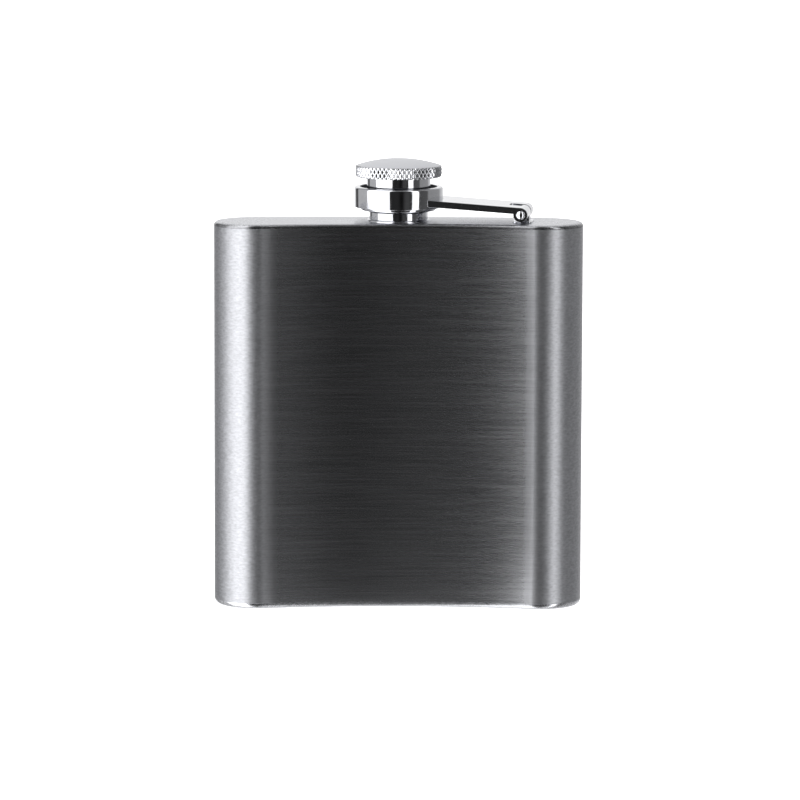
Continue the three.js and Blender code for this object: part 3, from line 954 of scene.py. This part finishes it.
# %% Finishes and bodies
PIECES = [
    (body_wrap, "flask", "body_wrap", "brushed_steel", wrap_steel),
    (top_plate, "flask", "top_plate", "brushed_steel", plate_steel),
    (bottom_plate, "flask", "bottom_plate", "brushed_steel", plate_steel),
    (neck, "flask", "neck", "polished_steel", mirror_steel),
    (base_ring, "flask", "neck_base_ring", "polished_steel", mirror_steel),
    (bracket, "flask", "hinge_bracket", "polished_steel", mirror_steel),
    (arm, "arm", "arm", "polished_steel", mirror_steel),
    (pin, "arm", "hinge_pin", "polished_steel", mirror_steel),
    (collar, "arm", "collar", "polished_steel", mirror_steel),
    # The washer's dark colour is painted shade of the recess inside the collar.
    (washer, "arm", "collar_washer", "polished_steel", painted_shade_steel),
    (seal, "seal", "seal_disc", "seal_plastic", seal_plastic),
    (cap_sleeve, "cap", "cap_sleeve", "polished_steel", mirror_steel),
    (cap_head, "cap", "cap_head", "satin_steel", satin_steel),
]
for piece, body, solid, slot, finish in PIECES:
    piece.data.materials.append(finish)
    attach(piece, body)
    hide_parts(solid)

# %% [markdown]
# The knurled rim keeps the rolled finish, and the socket inside the head is polished. Only the dome is satin, so
# the head's faces are sorted by where they lie. The collar's bore never sees the mop either and stays dull, and its
# dark colour is painted shade of the recess.

# %% Sort the faces of the cap's head and the collar
dome_from = rim_top - RIM_BEVEL * 0.3
bore_to = COLLAR_BORE + 0.1 * MM

cap_head.data.materials.append(knurl_steel)
for face in cap_head.data.polygons:
    face.material_index = 0 if above_plate(face.center.z) > dome_from else 1
# The collar's bore takes the dark finish, which is painted shade of its recess.
collar.data.materials.append(painted_shade_steel)
for face in collar.data.polygons:
    out = math.hypot(face.center.x - neck_axis.x, face.center.y - neck_axis.y)
    face.material_index = 1 if out < bore_to else 0
print("dome faces:", sum(face.material_index == 0 for face in cap_head.data.polygons))

# %% [markdown]
# ## Studio
# Polished metal shows the room more than itself, so the room matters as much as the finish. Area lamps would give
# the bright panels but leave black between them. This room is painted on the world by bearing: a tall softbox on
# the left, black card round the camera, a narrow light strip on the right with grey card beyond it, and a pale
# sweep behind. The bearing is 0 towards the camera's side and grows towards the flask's right. High up, the panels
# fade into a dim ceiling. The camera itself sees plain white, so that the backdrop is clean.

# %% The room
STUDIO_STRENGTH = 2.75
ROOM = [
    (-180, "#A6A6A6"), (-150, "#A6A6A6"), (-144, "#2E2E2E"), (-131, "#383838"), (-128, "#808080"),
    (-90, "#848484"), (-86, "#FFFFFF"), (-24.5, "#FFFFFF"), (-22.5, "#1C1C1C"), (-12, "#181818"),
    (-2, "#1A1A1A"), (6, "#0B0B0B"), (10, "#0B0B0B"), (18, "#2C2C2C"), (26, "#2E2E2E"),
    (35, "#1C1C1C"), (37.5, "#FFFFFF"), (52.5, "#FFFFFF"), (54.5, "#323232"), (80, "#3B3B3B"),
    (84, "#646464"), (128, "#696969"), (140, "#8A8A8A"), (180, "#A6A6A6"),
]
CEILING = "#505050"
LIFT_FROM, LIFT_TO = math.radians(12), math.radians(60)
OVERHEAD_FROM, OVERHEAD_TO = math.radians(62), math.radians(85)

world = bpy.data.worlds.new("studio")
bpy.context.scene.world = world
world.use_nodes = True
tree = world.node_tree
tree.nodes.clear()
way = tree.nodes.new("ShaderNodeSeparateXYZ")
tree.links.new(tree.nodes.new("ShaderNodeTexCoord").outputs["Generated"], way.inputs[0])
ahead = add(tree, "Math", {0: way.outputs["Y"], 1: -1.0}, operation="MULTIPLY")
bearing = add(tree, "Math", {0: way.outputs["X"], 1: ahead}, operation="ARCTAN2")
share = add(tree, "MapRange", {0: bearing, 1: -math.pi, 2: math.pi})
walls = tree.nodes.new("ShaderNodeValToRGB")
tree.links.new(share, walls.inputs[0])
stops = walls.color_ramp.elements
while len(stops) > 1:
    stops.remove(stops[-1])
for index, (degrees, colour) in enumerate(ROOM):
    stop = stops[0] if index == 0 else stops.new((degrees + 180) / 360)
    stop.position = (degrees + 180) / 360
    stop.color = linear(colour)
height = add(tree, "Math", {0: way.outputs["Z"]}, operation="ARCSINE")
lift = add(tree, "MapRange", {0: height, 1: LIFT_FROM, 2: LIFT_TO}, interpolation_type="SMOOTHSTEP")
overhead = add(tree, "MapRange", {0: height, 1: OVERHEAD_FROM, 2: OVERHEAD_TO}, interpolation_type="SMOOTHSTEP")
spill = add(tree, "MixRGB", {0: lift, 1: (0, 0, 0, 1), 2: linear(CEILING)})
lifted = add(tree, "MixRGB", {0: 1.0, 1: walls.outputs["Color"], 2: spill}, blend_type="LIGHTEN")
room = add(tree, "MixRGB", {0: overhead, 1: lifted, 2: linear(CEILING)})
seen = add(tree, "Background", {"Color": (1, 1, 1, 1), "Strength": 1.0})
felt = add(tree, "Background", {"Color": room, "Strength": STUDIO_STRENGTH})
mixed = tree.nodes.new("ShaderNodeMixShader")
tree.links.new(tree.nodes.new("ShaderNodeLightPath").outputs["Is Camera Ray"], mixed.inputs[0])
tree.links.new(felt, mixed.inputs[1])
tree.links.new(seen, mixed.inputs[2])
tree.links.new(mixed.outputs[0], tree.nodes.new("ShaderNodeOutputWorld").inputs[0])
print("the room has", len(ROOM), "stops")

# %% [markdown]
# ## Floor
# The flask stands on a wide sheet of white paper, lit so brightly that it runs into the backdrop. Mirrored as it
# is, it would fill every low reflection with white, so it is hidden from the metal, and the next cell gives the
# metal a dimmer one.

# %% Floor
FLOOR_HALF = 3.0
FIBRE_SIZE = 0.8 * MM
PAPER_LIGHT = 0.9

bm = bmesh.new()
bmesh.ops.create_grid(bm, x_segments=8, y_segments=8, size=FLOOR_HALF)
floor = mesh_object("paper_floor", bm)
paper, tree, shader = new_finish("white_paper", Roughness=0.9)
place = tree.nodes.new("ShaderNodeTexCoord").outputs["Object"]
fibres = add(tree, "TexNoise", {"Vector": place, "Scale": 1 / FIBRE_SIZE, "Detail": 3.0})
feed(tree, shader, Base_Color=add(tree, "MixRGB", {0: fibres, 1: linear("#F4F4F4"), 2: linear("#FAFAFA")}))
shader.inputs["Emission Color"].default_value = (1, 1, 1, 1)
shader.inputs["Emission Strength"].default_value = PAPER_LIGHT
floor.data.materials.append(paper)
floor.visible_glossy = False

# %% [markdown]
# ## Glow of the paper
# The metal does see the lit paper close by: it fills the rounded bottom edge with light and lifts the foot of
# the walls. Further off the paper falls into shade. A second sheet, which only reflections see, does that: it
# glows round the flask's foot and thins out to nothing with distance from it.

# %% Glow of the paper near the flask
GLOW_RADIUS = 900 * MM
GLOW_DROP = 0.1 * MM
NEAR_GLOW, NEAR_REACH = 0.12, 2.5 * MM
FAR_GLOW, FAR_REACH = 0.045, 150 * MM

bm = bmesh.new()
bmesh.ops.create_grid(bm, x_segments=2, y_segments=2, size=GLOW_RADIUS)
bmesh.ops.translate(bm, verts=bm.verts, vec=(0, 0, -GLOW_DROP))
glow = mesh_object("paper_glow", bm)
glowing = bpy.data.materials.new("lit_paper")
glowing.use_nodes = True
tree = glowing.node_tree
tree.nodes.clear()
spot = tree.nodes.new("ShaderNodeSeparateXYZ")
tree.links.new(tree.nodes.new("ShaderNodeTexCoord").outputs["Object"], spot.inputs[0])
across = add(tree, "Math", {0: spot.outputs["X"]}, operation="ABSOLUTE")
past = add(tree, "Math", {0: add(tree, "Math", {0: across, 1: side_x}, operation="SUBTRACT"), 1: 0.0},
           operation="MAXIMUM")
apart = tree.nodes.new("ShaderNodeVectorMath")
apart.operation = "LENGTH"
tree.links.new(add(tree, "CombineXYZ", {"X": past, "Y": spot.outputs["Y"]}), apart.inputs[0])
beyond = add(tree, "Math", {0: apart.outputs["Value"], 1: side_radius}, operation="SUBTRACT")


def fading(strength, reach):
    """Brightness that falls off with distance from the flask's foot."""
    power = add(tree, "Math", {0: beyond, 1: -1 / reach}, operation="MULTIPLY")
    share = add(tree, "Math", {0: math.e, 1: power}, operation="POWER", use_clamp=True)
    return add(tree, "Math", {0: share, 1: strength}, operation="MULTIPLY")


together = add(tree, "Math", {0: fading(NEAR_GLOW, NEAR_REACH), 1: fading(FAR_GLOW, FAR_REACH)}, operation="ADD")
lit = add(tree, "Emission", {"Color": (1, 1, 1, 1), "Strength": together})
shown = add(tree, "AddShader", {0: add(tree, "BsdfTransparent"), 1: lit})
tree.links.new(shown, tree.nodes.new("ShaderNodeOutputMaterial").inputs[0])
glow.data.materials.append(glowing)
glow.visible_camera = False
glow.visible_diffuse = False
glow.visible_shadow = False

# %% [markdown]
# ## View transform
# The view transform stays Standard, because a filmic one would grey the white paper.

# %% Set the view transform
bpy.context.scene.view_settings.view_transform = "Standard"
